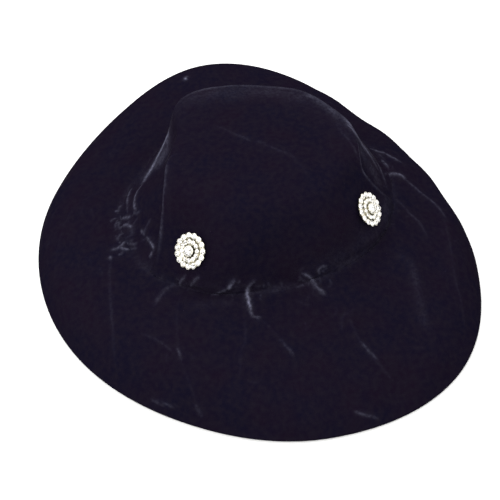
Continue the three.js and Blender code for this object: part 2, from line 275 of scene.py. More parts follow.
def fold_relief(points, normals, lines, wander):
    """Height, and crushed pile with painted light, of many folds. Each is a ridge
    exp(-distance / width) whose crest is rounded over CREST_SHARE of the width and whose width
    is LEAN more on one side and less on the other. It swells over FOLD_SWELLS of its line and
    dies away over FOLD_DIES. The crushed pile and painted light are a streak
    exp(-(distance / streak)²) in a fainter haze HAZE_REACH times as wide, and both stray from
    the line by the wander of each point."""
    height = np.zeros(points.shape[:-1])
    crush = np.zeros(points.shape[:-1])
    for fold, line in lines:
        reach = FOLD_REACH * fold.width
        near = ((points > line.min(0) - reach) & (points < line.max(0) + reach)).all(-1)
        distance, share = distance_to_line(points[near], normals[near], line)
        ends = ease(share, *FOLD_SWELLS) * (1 - ease(share, *FOLD_DIES))
        width = fold.width * (1 + LEAN * np.sign(distance))
        crest = CREST_SHARE * fold.width
        height[near] += fold.height * ends * np.exp(-(np.hypot(distance, crest) - crest) / width)
        aside = (distance + wander[near]) / fold.streak
        mark = np.exp(-(aside**2)) + HAZE * np.exp(-((aside / HAZE_REACH) ** 2))
        crush[near] = np.maximum(crush[near], fold.crush * ends * mark)
    return height, crush


# %% Scattered creases and gentle waves
Cluster = namedtuple("Cluster", "angle spread place depth count height crush")
CREASE_LENGTH = (3, 9)
CREASE_BEND = (0.3, 0.9)
CREASE_STRENGTH = (0.3, 1.0)
CREASE_WIDTH = 1.3
CREASE_LOWEST = 0.01
DEGREE = 1.6


def scattered_creases(random, clusters, span):
    """Short bowed creases in clusters. Each cluster has a middle and a spread in both
    directions; span is the length in millimetres of one unit of the second, and a degree
    near the seam is DEGREE millimetres."""
    folds = []
    for cluster in clusters:
        for _ in range(cluster.count):
            angle = cluster.angle + cluster.spread * random.uniform(-1, 1)
            place = cluster.place + cluster.depth * random.uniform(-1, 1)
            turn = random.uniform(0, 2 * np.pi)
            length = random.uniform(*CREASE_LENGTH)
            bow = turn + random.uniform(*CREASE_BEND) * random.choice((-1, 1))
            path = [(angle, place)]
            for way in (turn, bow):
                angle = angle + length / 2 * np.cos(way) / DEGREE
                place = place + length / 2 * np.sin(way) / span
                path.append((angle, max(place, CREASE_LOWEST)))
            strength = random.uniform(*CREASE_STRENGTH)
            folds.append(Fold(path, cluster.height * strength, CREASE_WIDTH, cluster.crush * strength))
    return folds


def soft_waves(random, points, count, shortest, longest):
    """A gentle unevenness between about -1 and 1: the mean of sine waves that run through the
    points in random directions, with lengths between the shortest and the longest."""
    total = 0
    for _ in range(count):
        direction = unit(random.normal(size=3))
        length = random.uniform(shortest, longest)
        start = random.uniform(0, 2 * np.pi)
        total = total + np.sin(points @ direction * (2 * np.pi / length) + start)
    return total / math.sqrt(count)


# %% [markdown]
# ## The brim
# The brim is a broad oval that slopes gently away from the seam and turns down round its
# edge, more at the sides than at the front, and its back is lifted. One section, from the
# seam to the edge, is carried round the plan, and its height follows the angle. Folds run
# out over it from the seam. The velvet goes over the edge and back underneath, so the piece
# is one closed shell.

# %% The brim's section
BRIM_WALL = 3
BACK_LIFT = 26
BACK_LIFT_FROM = 116
EDGE_ROUND = 1.5
REST_STRIP = 2.4
SEAM_BORDER = 4.5

# Columns: share of the way out, share of the seam's height left at the front and at the sides
SECTION = np.array([
    (0.00, 1.00, 1.00),
    (0.12, 0.97, 0.96),
    (0.28, 0.90, 0.89),
    (0.44, 0.80, 0.81),
    (0.58, 0.69, 0.73),
    (0.70, 0.58, 0.66),
    (0.80, 0.46, 0.57),
    (0.88, 0.33, 0.43),
    (0.95, 0.18, 0.23),
    (1.00, 0.05, 0.05),
])
print("brim's section:", len(SECTION), "rows, back lifted by", BACK_LIFT, "mm")

# %% The brim's folds and creases
# Each path goes through places given as an angle and a share of the way out
BRIM_FOLDS = [
    Fold([(-73, .23), (-63, .42), (-55, .62), (-51, .76), (-47, .91)], 1.5, 5.0, .022, 1.0),
    Fold([(-45, .03), (-47, .08), (-48, .14), (-48, .25), (-48, .33)], 1.0, 3.4, .05, 1.2),
    Fold([(-42, .12), (-40, .28), (-37, .44), (-33, .64), (-28, .83), (-25, .98)], 1.4, 5.0, .009),
    Fold([(-46, .56), (-42, .56), (-39, .57), (-35, .61)], 0.8, 3.6, .025),
    Fold([(-17, .00), (-17, .06), (-16, .14), (-15.6, .21)], 2.2, 2.4, .62, 0.9),
    Fold([(-15.7, .18), (-15, .22), (-13.4, .235), (-11.8, .225)], 1.4, 2.4, .22),
    Fold([(-18, .20), (-17, .34), (-17, .41), (-18, .50), (-18, .70)], 1.4, 5.0, .014),
    Fold([(-12, .24), (-7, .39), (-5, .45), (-4, .51), (-4, .60)], 1.2, 4.0, .009),
    Fold([(11, .00), (11, .06), (11, .11), (13, .17)], 2.0, 2.4, .20, 1.2),
    Fold([(11, .42), (13, .35), (16, .33), (18, .32)], 0.8, 3.4, .02),
    Fold([(18, .32), (15, .38), (14, .50), (14, .59), (15, .70), (16, .83)], 1.4, 4.4, .017),
    Fold([(45, .28), (44, .37), (40, .45), (35, .55), (32, .64), (30, .74)], 1.6, 5.6, .025, 2.9),
    Fold([(72, .03), (69, .13), (65, .25), (63, .34), (60, .41), (58, .45)], 1.2, 4.0, .05),
    Fold([(84, .01), (85, .09), (85, .20), (82, .29)], 1.2, 3.4, .25, 1.1),
    Fold([(85, .14), (82, .29), (77, .43), (73, .57), (69, .66), (67, .70)], 1.7, 4.2, .09),
    Fold([(70, .66), (60, .66), (48, .74), (37, .92)], 1.2, 6.0, .018),
    Fold([(102, .03), (99, .12), (97, .21), (94, .30), (92, .42)], 1.3, 3.6, .18),
    Fold([(-107, .12), (-107, .30), (-105, .44), (-101, .58), (-90, .70), (-75, .86)], 1.4, 6.0, .005),
    Fold([(-36, .19), (-29, .14), (-23, .11), (-18, .13)], 0.6, 4.0, .014, 3.5),
]

# Short creases where the velvet was pinched or knocked
BRIM_CREASES = [
    Fold([(-87, .07), (-87.5, .03), (-88, .00)], 0.6, 1.4, .14),
    Fold([(-84, .05), (-84.5, .02), (-85, .00)], 0.5, 1.4, .12),
    Fold([(-76, .19), (-75, .11), (-76, .06), (-77, .01)], 0.9, 1.6, .28),
    Fold([(-75, .11), (-73, .07), (-72, .02)], 0.9, 1.6, .30),
    Fold([(-110, .05), (-103, .02), (-96, .01)], 0.6, 1.6, .05),
    Fold([(-31, .075), (-29.5, .065), (-28, .055)], 0.5, 1.4, .12),
    Fold([(3.5, .048), (5.5, .046), (7.5, .044)], 0.4, 1.4, .10),
    Fold([(-73.8, .235), (-73, .24), (-72.2, .245)], 0.4, 1.4, .22),
    Fold([(-44, .00), (-44, .03), (-44, .05)], 0.8, 1.4, .25),
    Fold([(-35, .56), (-34, .60), (-32.8, .65)], 0.5, 1.8, .10),
    Fold([(-27, .89), (-26, .92), (-25.5, .95)], 0.5, 1.8, .075, 1.0),
    Fold([(-7, .40), (-5.6, .45), (-4.5, .49), (-4, .53)], 0.5, 1.8, .065),
    Fold([(14, .54), (14.5, .61), (15.3, .68)], 0.5, 1.8, .09),
    Fold([(15, .73), (15.6, .78), (16, .82)], 0.5, 1.8, .023),
    Fold([(94, .06), (91, .07), (88, .08)], 0.9, 1.4, .16, 1.0),
    # The next four are small ridges with painted highlights near the brim's turned-down edge, where its
    # roll catches the light
    Fold([(-37, .95), (-34, .945), (-31, .93)], 0.6, 1.6, .16, 0.6),
    Fold([(6, .90), (7.5, .93), (9, .95), (10.5, .98)], 0.6, 1.6, .12, 0.7),
    Fold([(-173, .88), (-172.5, .84), (-172, .80)], 0.6, 1.6, .42),
    Fold([(-134, .88), (-136, .895), (-138, .88)], 0.6, 1.6, .03),
]

BRIM_SCATTER = [
    Cluster(-83, 12, .05, .05, 14, 0.4, .13),
    Cluster(-44, 7, .04, .04, 6, 0.4, .06),
    Cluster(-20, 10, .04, .04, 9, 0.4, .055),
    Cluster(12, 9, .04, .04, 9, 0.4, .06),
    Cluster(64, 8, .05, .05, 6, 0.4, .035),
    Cluster(90, 12, .08, .08, 10, 0.4, .06),
    Cluster(0, 150, .50, .42, 60, 0.3, .015),
]
print("brim:", len(BRIM_FOLDS), "folds and", len(BRIM_CREASES), "creases by hand")

# %% The smooth brim


def brim_base(angle, out):
    """The smooth brim: the radius goes evenly from seam to edge, and the height from the
    seam's to the edge's by the section, which changes from front to side with sin²."""
    seam = round_curve(SEAM, angle)
    radius = seam + (round_curve(EDGE, angle) - seam) * out
    edge = brim_edge_height(angle)
    front = open_curve(SECTION[:, 0], SECTION[:, 1], out)
    side = open_curve(SECTION[:, 0], SECTION[:, 2], out)
    share = front + (side - front) * np.sin(np.radians(angle)) ** 2
    return polar(angle, radius, edge + (SEAM_HEIGHT - edge) * share)


def brim_edge_height(angle):
    """Height of the brim's edge: on the floor, and lifted in a soft step towards the back."""
    return BACK_LIFT * ease(np.abs(wrapped(angle)), BACK_LIFT_FROM, 180)


def grid_normals(grid):
    """Upward normals of a grid of points whose first direction goes outwards and whose
    second goes round: the cross product of the two directions' differences."""
    outwards = np.gradient(grid, axis=0)
    around = np.roll(grid, -1, axis=1) - np.roll(grid, 1, axis=1)
    return unit(np.cross(outwards, around))


COLUMN_SHARES = (0, 0.1, 0.9, 1)
COLUMN_ANGLES = (-180, -120, 120, 180)


def column_angles(columns):
    """Angles of a grid's columns, four fifths of them over the front two thirds, where the
    finest creases are."""
    share = np.linspace(0, 1, columns, endpoint=False)[None, :]
    return np.interp(share, COLUMN_SHARES, COLUMN_ANGLES)


# %% The brim's upper side
BRIM_COLUMNS = 800
BRIM_ROWS = 100
ROW_CROWDING = 1.2
BRIM_SPAN = 70
FOLD_SEED = 7
BRIM_WANDER_SEED = 3
STREAK_WANDER = 0.12
BRIM_WAVE = 0.5

# How many waves, and the shortest and longest of them
WANDER_WAVES = (9, 3, 9)
CLOTH_WAVES = (7, 22, 60)

# Shares of the way out over which the waves and the folds begin, and the folds end
WAVES_BEGIN = (0.02, 0.15)
FOLDS_BEGIN = (0.0, 0.04)
FOLDS_END = (0.92, 1)

random = np.random.default_rng(FOLD_SEED)
round_angles = column_angles(BRIM_COLUMNS)
brim_out = np.linspace(0, 1, BRIM_ROWS)[:, None] ** ROW_CROWDING
brim_grid = brim_base(round_angles, brim_out)
brim_normals = grid_normals(brim_grid)
brim_creases = BRIM_CREASES + scattered_creases(random, BRIM_SCATTER, BRIM_SPAN)
brim_lines = laid_folds(BRIM_FOLDS + brim_creases, brim_base)
wander_random = np.random.default_rng(BRIM_WANDER_SEED)
brim_wander = STREAK_WANDER * soft_waves(wander_random, brim_grid, *WANDER_WAVES)
brim_height, brim_crush_and_light = fold_relief(brim_grid, brim_normals, brim_lines, brim_wander)
brim_height += BRIM_WAVE * soft_waves(random, brim_grid, *CLOTH_WAVES) * ease(brim_out, *WAVES_BEGIN)
clear = ease(brim_out, *FOLDS_BEGIN) * (1 - ease(brim_out, *FOLDS_END))
brim_top = brim_grid + brim_normals * (brim_height * clear)[..., None]
print("brim:", len(brim_lines), "folds and creases, the highest", brim_height.max().round(2), "mm")

# %% The brim's edge and underside
EDGE_STEPS = 5
UNDER_ROWS = 12
UNDER_FROM = 0.95
UNDER_FOLDS_BEGIN = (0.0, 0.12)
UNDER_FOLDS_END = (0.9, 1)

edge_radius = round_curve(EDGE, round_angles)
edge_height = brim_edge_height(round_angles)
roll = np.linspace(0, np.pi / 2, EDGE_STEPS)[1:, None]
brim_roll = polar(round_angles, edge_radius - EDGE_ROUND * (1 - np.cos(roll)),
                  edge_height + EDGE_ROUND * (1 - np.sin(roll)))
brim_strip = polar(round_angles, edge_radius - EDGE_ROUND - REST_STRIP, edge_height)

under_out = np.linspace(UNDER_FROM, 0.0, UNDER_ROWS)[:, None]
under_grid = brim_base(round_angles, under_out)
under_normals = -grid_normals(under_grid)
straight = np.zeros(under_grid.shape[:2])
under_height, _ = fold_relief(under_grid, under_normals, brim_lines[:len(BRIM_FOLDS)], straight)
under_clear = ease(under_out, *UNDER_FOLDS_BEGIN) * (1 - ease(under_out, *UNDER_FOLDS_END))
brim_under = under_grid + under_normals * (under_height * under_clear - BRIM_WALL)[..., None]

inner = round_curve(SEAM, round_angles) - SEAM_BORDER
border_under = polar(round_angles, inner, SEAM_HEIGHT - BRIM_WALL)
border_top = polar(round_angles, inner, SEAM_HEIGHT)
brim_rings = np.concatenate([border_top, brim_top, brim_roll, brim_strip, brim_under, border_under])
print("brim:", len(brim_rings), "rings of", BRIM_COLUMNS, "points")

# %% [markdown]
# ## The crown
# The crown is draped, not blocked: a wide panel runs from the front over the top to the
# back, a pleat on each side holds its edge, and behind the pleats the sides are pinched in.
# The loft goes from the seam's plan to the smaller plan of the shoulder and then shrinks to
# the middle. The columns of the grid are shifted so that one of them lies along each pleat,
# and the surface steps back behind it. Near the seam the velvet is gathered in bunches, and its
# foot flares out over the brim. Both are painted lighter there, as painted light that lifts the
# shade in the corner between them.

# %% The crown's profile and pleats
CROWN_HEIGHT = 46
CROWN_WALL = 2
SEAM_GAP = 0.3
CROWN_FOOT = SEAM_HEIGHT + SEAM_GAP
CROWN_TOP = CROWN_FOOT + CROWN_HEIGHT

# Columns: share of the height, share of the way from the seam's plan to the shoulder's, and
# how far that plan has shrunk to the middle
PROFILE = np.array([
    (0.000, 0.00, 1.000),
    (0.140, 0.08, 1.000),
    (0.340, 0.28, 1.000),
    (0.550, 0.54, 1.000),
    (0.730, 0.80, 1.000),
    (0.860, 1.00, 0.975),
    (0.935, 1.00, 0.870),
    (0.975, 1.00, 0.680),
    (0.995, 1.00, 0.380),
    (1.000, 1.00, 0.000),
])

# Columns, by row of the profile: angle of the left and right pleat, and how far the pinched
# side behind each stands back
PLEATS = np.array([
    (-56.0, 68, 1.5, 1.0),
    (-57.5, 67, 6.0, 3.5),
    (-60.0, 66, 9.0, 5.0),
    (-63.5, 65, 10.5, 5.5),
    (-68.5, 66, 9.0, 5.0),
    (-77.0, 73, 5.0, 3.0),
    (-94.0, 92, 1.2, 1.0),
    (-94.0, 92, 0.0, 0.0),
    (-94.0, 92, 0.0, 0.0),
    (-94.0, 92, 0.0, 0.0),
])
GUIDE_ROW = 2
LEFT_GUIDE, RIGHT_GUIDE = PLEATS[GUIDE_ROW, :2]
PLEAT_STEP = 3.4
PINCH_FULL = 40
PINCH_END = 95
PLEAT_LIP = 0.6

# Of the lip and of the crushed pile on it: degrees before the pleat, width in degrees, and the
# pinched side's depth from which they are full
LIP_BEFORE = 1.5
LIP_WIDTH = 2.5
LIP_DEPTH = 4
MARK_BEFORE = 0.7
MARK_WIDTH = 0.8
MARK_DEPTH = 2.5

# The velvet under each clip slants a little more to the side and the top than the plain wall
ClipSeat = namedtuple("ClipSeat", "name angle row turn tip")
CLIP_SEATS = [
    ClipSeat("clip_left", -42.9, 2.55, 0.45, -0.28),
    ClipSeat("clip_right", 50.3, 2.34, -0.21, -0.29),
]
CLIP_ROW = 2
CLIP_DRAW = 24
DRAW_BEGINS = (-1.2, 1)
DRAW_ENDS = (6, 9)
ROWS = np.arange(len(PROFILE), dtype=float)
print("crown:", len(PROFILE), "rows, from", CROWN_FOOT, "to", CROWN_TOP, "mm")

# %% The draped crown


def clip_draw(angle, row, radius):
    """How far the velvet is drawn out or in round the clips: a slope across and up the wall
    that fades as exp(-(distance / CLIP_DRAW)²)."""
    row_height = (PROFILE[CLIP_ROW + 1, 0] - PROFILE[CLIP_ROW, 0]) * CROWN_HEIGHT
    drawn = 0
    for seat in CLIP_SEATS:
        across = np.radians(wrapped(angle - seat.angle)) * radius
        up = (row - seat.row) * row_height
        near = np.exp(-(across**2 + up**2) / CLIP_DRAW**2) * ease(row, *DRAW_BEGINS)
        drawn = drawn + (seat.turn * across + seat.tip * up) * near * (1 - ease(row, *DRAW_ENDS))
    return drawn


def crown_loft(angle, row):
    """The crown without pleats: the plan goes from seam to shoulder and shrinks to the
    middle while the height rises, all by the profile's rows."""
    rise, inward, scale = (open_curve(ROWS, PROFILE[:, k], row) for k in range(3))
    seam = round_curve(SEAM, angle)
    plan = seam + (round_curve(SHOULDER, angle) - seam) * inward
    radius = plan * scale + clip_draw(angle, row, plan)
    return polar(angle, radius, CROWN_FOOT + CROWN_HEIGHT * rise)


def pleat_columns(even, row):
    """Angles of the grid: each row's pleats pull the evenly spaced columns to where they
    lie, all of the way at a pleat and less and less to the next fixed angle."""
    left, right = open_curve(ROWS, PLEATS[:, 0], row), open_curve(ROWS, PLEATS[:, 1], row)
    left_pull = np.interp(even, [-180, LEFT_GUIDE - PLEAT_STEP, LEFT_GUIDE, RIGHT_GUIDE], [0, 1, 1, 0])
    right_pull = np.interp(even, [LEFT_GUIDE, RIGHT_GUIDE, RIGHT_GUIDE + PLEAT_STEP, 180], [0, 1, 1, 0])
    return even + (left - LEFT_GUIDE) * left_pull + (right - RIGHT_GUIDE) * right_pull


def pleats(angle, row):
    """How far the crown stands back, and the crushed pile on the pleats: a step behind each
    pleat that fills out again further round, with a small raised lip along the pleat."""
    back = 0
    mark = 0
    for side, angles, depths in ((-1, PLEATS[:, 0], PLEATS[:, 2]), (1, PLEATS[:, 1], PLEATS[:, 3])):
        past = side * (angle - open_curve(ROWS, angles, row))
        depth = np.maximum(open_curve(ROWS, depths, row), 0)
        near_lip = np.exp(-(((past + LIP_BEFORE) / LIP_WIDTH) ** 2))
        lip = PLEAT_LIP * near_lip * np.minimum(depth / LIP_DEPTH, 1)
        back = back + depth * ease(past, 0, PLEAT_STEP) * (1 - ease(past, PINCH_FULL, PINCH_END)) - lip
        near_mark = np.exp(-(((past + MARK_BEFORE) / MARK_WIDTH) ** 2))
        mark = mark + near_mark * np.minimum(depth / MARK_DEPTH, 1)
    return back, mark


# %% The crown's gathers
Bunch = namedtuple("Bunch", "angle spread count depth rise")
BUNCHES = [
    Bunch(-88, 24, 18, 1.2, 1.8),
    Bunch(-42, 7, 5, 0.9, 1.5),
    Bunch(-18, 10, 7, 0.9, 1.2),
    Bunch(12, 9, 7, 0.9, 1.0),
    Bunch(58, 11, 5, 0.8, 1.2),
    Bunch(92, 18, 9, 1.1, 1.6),
    Bunch(180, 55, 12, 0.7, 1.2),
]
TUCK_WIDTH = (1.1, 2.6)
TUCK_RISE = (0.5, 1.2)
TUCK_LEAN = 1.5
TUCK_FADE = 0.1
TUCK_DEPTH = (0.4, 1)


def gathers(random, angle, row):
    """Depth of the gathers. Each bunch is a few tucks at random angles, a tuck being a groove
    exp(-(turn / width)²) that leans a little and fades out up the wall."""
    depth = 0
    for bunch in BUNCHES:
        for _ in range(bunch.count):
            middle = bunch.angle + bunch.spread * random.uniform(-1, 1)
            width = random.uniform(*TUCK_WIDTH)
            rise = bunch.rise * random.uniform(*TUCK_RISE)
            turn = wrapped(angle - middle - random.normal(0, TUCK_LEAN) * row)
            groove = np.exp(-((turn / width) ** 2)) * (1 - ease(row, TUCK_FADE * rise, rise))
            depth = np.maximum(depth, bunch.depth * random.uniform(*TUCK_DEPTH) * groove)
    return depth


print("gathers:", sum(bunch.count for bunch in BUNCHES), "tucks in", len(BUNCHES), "bunches")

# %% The crown's folds and crushed places
# Paths here are places as an angle and a row of the profile
CROWN_FOLDS = [
    # The first two are a painted highlight, partly crushed pile: a bright streak and a wider glow on the
    # pinched left side, where the velvet turns away from view
    Fold([(-133, 3.1), (-129.5, 2.4), (-126.5, 1.7), (-119, 1.35), (-110, 1.3), (-104, 1.2)],
         0.8, 9.0, .55, 3.2),
    Fold([(-132, 3.2), (-126, 2.6), (-120, 2.4), (-114, 2.2), (-108, 1.9)], 0.4, 10.0, .135, 7.0),
    Fold([(-103, 1.3), (-101, 1.2), (-98, 1.13), (-93, 1.2), (-89, 1.25), (-85, 1.3)], 0.7, 1.6, .32),
    Fold([(-108, .03), (-102, .26), (-98, .37), (-93, .59), (-89, .63)], 0.6, 1.6, .19),
    Fold([(-89, .10), (-87, .58), (-85, .92)], 0.7, 1.4, .28),
    Fold([(-85, .05), (-83, .50), (-80.5, .72), (-78.6, .80)], 0.7, 1.4, .25),
    Fold([(-79, .02), (-76, .14), (-75, .50)], 0.6, 1.4, .06),
    Fold([(-76, .02), (-74, .20), (-72, .39), (-72, .63)], 0.7, 1.4, .14),
    Fold([(-74.5, 1.2), (-72.5, 1.2), (-70.5, 1.2)], 0.6, 1.4, .18),
    Fold([(-69, 1.2), (-66, 1.17), (-64, 1.12), (-62.4, .90)], 0.9, 1.6, .38),
    Fold([(-63, .85), (-62.3, .65), (-62, .45)], 0.6, 1.4, .20),
    Fold([(-82, .75), (-79, .62), (-76, .50)], 0.3, 3.0, .05, 2.6),
    Fold([(-42.5, 1.2), (-44, .6), (-44, .0)], 0.7, 1.5, .16),
    Fold([(-36.5, 1.5), (-38.5, 1.1), (-40.5, .0)], 0.7, 1.5, .15),
    Fold([(-22.8, 1.42), (-23.6, 1.15), (-24.6, .85), (-25.6, .62)], 0.7, 1.5, .38),
    Fold([(-25.4, .68), (-27, .52), (-29.5, .15)], 0.5, 1.5, .17, 1.0),
    Fold([(-21.2, 1.1), (-20.8, 1.22), (-20, 1.33)], 0.4, 1.4, .10),
    Fold([(-16.9, .72), (-17, .45), (-17.1, .2), (-17, -.3)], 0.8, 1.5, .40),
    Fold([(-13.8, 1.15), (-15, 1.02), (-16, .86), (-17.2, .6)], 0.8, 1.5, .20),
    Fold([(-9.9, .65), (-10, .45), (-10, .22)], 0.4, 1.4, .07),
    Fold([(-8, .75), (-8, .5), (-8, .3)], 0.4, 1.4, .06),
    Fold([(-2.4, .6), (-2.2, .3), (-2, .02)], 0.4, 1.4, .06),
    Fold([(5.6, .30), (6.4, .42), (7.2, .58)], 0.4, 1.4, .08),
    Fold([(-27, .8), (-20, .85), (-15, .75), (-8, .3), (4, .1)], 0.3, 2.0, .045, 1.2),
    Fold([(7.2, .9), (9.6, .58), (11, .21), (11.6, -.15)], 0.8, 1.5, .21, 0.9),
    Fold([(15, .38), (15, .65), (15.1, .84), (16.2, .91), (18, .89), (20, .78)], 0.7, 1.5, .20),
    Fold([(-89, 5.75), (-87, 5.68), (-81, 5.39), (-76, 5.05), (-71, 4.47), (-68, 3.93)],
         0.2, 4.0, .08, 1.0),
    Fold([(90, 2.6), (87, 1.3), (80, 1.0), (74, .5)], 0.6, 2.4, .14, 1.2),
    # The next four are painted light: faint wide streaks that lift the shade on the lower wall just
    # above the seam, on both sides of the front
    Fold([(14, .7), (26, .9), (38, 1.0), (48, 1.0), (58, 1.1), (66, 1.4)], 0.2, 8.0, .019, 9.0),
    Fold([(50, .6), (58, .9), (64, 1.1), (70, .9)], 0.2, 6.0, .03, 7.0),
    Fold([(20, .25), (30, .25), (40, .25), (50, .25), (60, .3), (72, .3)], 0.1, 3.0, .035, 2.4),
    Fold([(-46, .5), (-38, .6), (-30, .6), (-22, .6)], 0.2, 4.0, .02, 4.0),
    Fold([(97, 6.3), (91, 6.4), (85, 6.3), (79, 6.0), (75, 5.7), (70, 5.1), (66, 4.3)],
         0.3, 4.0, .036, 1.0),
    # The rest are painted light. Streaks along the crown's back and right outline, and a wider band
    # inside the back one, are painted highlights for the sheen where the velvet turns away, and a faint
    # wide streak lifts the shade behind the right pleat
    Fold([(132, 5.5), (124, 5.5), (114, 5.6), (106, 5.6), (98, 5.5), (92, 5.4)], 0.2, 8.0, .14, 4.5),
    Fold([(106, 5.5), (98, 5.2), (92, 5.2), (88, 4.8), (87, 3.7), (87, 2.8), (85, 2.0), (81, 1.3)],
         0.3, 7.0, .27, 2.8),
    Fold([(83, 5.2), (81, 4.1), (79, 3.1), (77, 2.3), (74, 1.5), (71, .9)], 0.2, 7.0, .05, 6.0),
    Fold([(215, 5.3), (195, 5.4), (175, 5.4), (150, 5.4), (125, 5.3), (100, 5.2)], 0.4, 10.0, .11, 3.0),
    Fold([(218, 5.9), (195, 6.3), (175, 6.4), (150, 6.3), (125, 6.3), (102, 6.0)], 0.2, 10.0, .035, 8.0),
]
CROWN_SCATTER = [
    Cluster(-83, 13, 0.6, 0.6, 14, 0.4, .14),
    Cluster(-42, 6, 0.4, 0.4, 6, 0.4, .07),
    Cluster(-19, 9, 0.3, 0.3, 8, 0.4, .06),
    Cluster(12, 9, 0.3, 0.3, 8, 0.4, .07),
    Cluster(60, 9, 0.4, 0.4, 6, 0.4, .04),
    Cluster(84, 14, 0.8, 0.7, 10, 0.4, .06),
]
ROW_SPAN = 8

# A soft ridge over the top and a crease along its first part, by places to the right and to
# the back of the middle
TOP_FOLDS = [
    Fold([(-20, 23), (-15, 17), (-4, 5), (5, -3), (12, -11), (20, -19), (25, -32), (30, -46)],
         1.1, 7.0, .012, 1.2),
    Fold([(-17, 19.5), (-14, 16), (-4.5, 5.5), (5.5, -2.5), (12.3, -11), (20, -18.2), (24, -26)],
         0.2, 2.5, .056, 1.05),
]
TOP_DROP = 1.0


def top_place(across, towards_back):
    """A place on the crown's flat top."""
    return np.stack(np.broadcast_arrays(across, towards_back, CROWN_TOP - TOP_DROP), -1)


print("crown:", len(CROWN_FOLDS), "folds on its wall and", len(TOP_FOLDS), "on its top by hand")

# %% Painted light along the seam
SEAM_LIFT_LIGHT = 0.018
SEAM_LIFT_BACK = 0.4
SEAM_LIFT_FRONT = (0.2, 0.8)
SEAM_BAND = 3.0
SEAM_LINE = 0.8
SEAM_LINE_SHARE = 1.3


def seam_painted_light(angle, away):
    """How much painted light lifts the shade at some distance away from the seam: a band
    exp(-(away / width)²) and a narrow line in it, both less towards the back, where the
    angle's cosine is low."""
    front = ease(np.cos(np.radians(angle)), *SEAM_LIFT_FRONT)
    band = np.exp(-((away / SEAM_BAND) ** 2))
    line = np.exp(-((away / SEAM_LINE) ** 2))
    share = SEAM_LIFT_BACK + (1 - SEAM_LIFT_BACK) * front
    return SEAM_LIFT_LIGHT * share * (band + SEAM_LINE_SHARE * line)


# %% The crown's outside
CROWN_COLUMNS = 700
CROWN_ROWS = 100
CROWN_LAST_ROW = 8.85
CROWN_WANDER_SEED = 4
TUCK_SEED = 5
CROWN_WAVE = 0.45
PLEAT_CRUSH = 0.10
SEAM_FLARE = 3.6
SEAM_DIP = 0.6

# Rows over which the foot's flare fades, the folds begin and the marks on the pleats begin
FLARE_ROWS = 0.65
FOLD_ROWS = (0, 0.25)
PLEAT_MARK_ROWS = (0.6, 2.8)


def draped_place(angle, row, tucks=0):
    """A place on the crown behind or in front of its pleats, or on its flared foot."""
    flare = np.exp(-np.maximum(row, 0) / FLARE_ROWS)
    stand_back = pleats(angle, row)[0] + tucks - SEAM_FLARE * flare
    return crown_loft(angle, row) - polar(angle, stand_back, SEAM_DIP * flare)


even_angles = column_angles(CROWN_COLUMNS)
crown_row = CROWN_LAST_ROW * np.linspace(0, 1, CROWN_ROWS)[:, None] ** ROW_CROWDING
crown_angle = pleat_columns(even_angles, crown_row)
tucks = gathers(np.random.default_rng(TUCK_SEED), crown_angle, crown_row)
crown_draped = draped_place(crown_angle, crown_row, tucks)
crown_normals = -grid_normals(crown_draped)

crown_folds = CROWN_FOLDS + scattered_creases(random, CROWN_SCATTER, ROW_SPAN)
crown_lines = laid_folds(crown_folds, draped_place) + laid_folds(TOP_FOLDS, top_place)
wander_random = np.random.default_rng(CROWN_WANDER_SEED)
crown_wander = STREAK_WANDER * soft_waves(wander_random, crown_draped, *WANDER_WAVES)
crown_height, crown_crush_and_light = fold_relief(crown_draped, crown_normals, crown_lines, crown_wander)
crown_height += CROWN_WAVE * soft_waves(random, crown_draped, *CLOTH_WAVES)
crown_outer = crown_draped + crown_normals * (crown_height * ease(crown_row, *FOLD_ROWS))[..., None]
print("crown:", len(crown_lines), "folds and creases, highest", crown_outer[..., 2].max().round(2), "mm")

pleat_mark = PLEAT_CRUSH * pleats(crown_angle, crown_row)[1] * ease(crown_row, *PLEAT_MARK_ROWS)
first_row = PROFILE[1, 0] * CROWN_HEIGHT
# Painted light that lifts the shade where the crown's foot meets the brim
crown_seam_light = seam_painted_light(crown_angle, crown_row * first_row)
crown_crush_and_light = np.maximum(np.maximum(crown_crush_and_light, pleat_mark), crown_seam_light)

# %% The crown's inside
INNER_ROWS = 20

inner_row = np.linspace(0, CROWN_LAST_ROW, INNER_ROWS)[:, None]
inner_angle = pleat_columns(even_angles, inner_row)
inner_smooth = crown_loft(inner_angle, inner_row)
inner_tucks = gathers(np.random.default_rng(TUCK_SEED), inner_angle, inner_row)
inner_back = pleats(inner_angle, inner_row)[0] + inner_tucks
crown_inner = inner_smooth + grid_normals(inner_smooth) * CROWN_WALL - polar(inner_angle, inner_back, 0)
crown_inner[0, :, 2] = CROWN_FOOT

crown_rings = np.concatenate([crown_outer[::-1], crown_inner])
crown_poles = np.array([(0, 0, CROWN_TOP), (0, 0, CROWN_TOP - CROWN_WALL)])
print("crown:", len(crown_rings), "rings of", CROWN_COLUMNS, "points and a point at each pole")

# %% [markdown]
# ## Velvet
# Velvet is a short upright pile on a woven ground. Seen along the pile it is almost black,
# and where the surface turns away the tips of the pile light up. The shader's sheen does
# that from any side. The colour wanders slowly between a bluer and a redder midnight, a
# fine bump stands for the pile, and crushed places are lighter and smoother. The same lighter
# colour is also painted on as highlights along some outlines, and as painted light that lifts
# shade in some hollows and corners.

# %% Small helpers for shader nodes


def new_material(name):
    """A new material, its tree of nodes and its shader."""
    material = bpy.data.materials.new(name)
    material.use_nodes = True
    tree = material.node_tree
    return material, tree, tree.nodes["Principled BSDF"]


def feed(tree, sockets, inputs):
    """Gives sockets their inputs, which are numbers, colours or other nodes' outputs."""
    for key, value in inputs.items():
        if isinstance(value, bpy.types.NodeSocket):
            tree.links.new(value, sockets[key])
        else:
            sockets[key].default_value = value


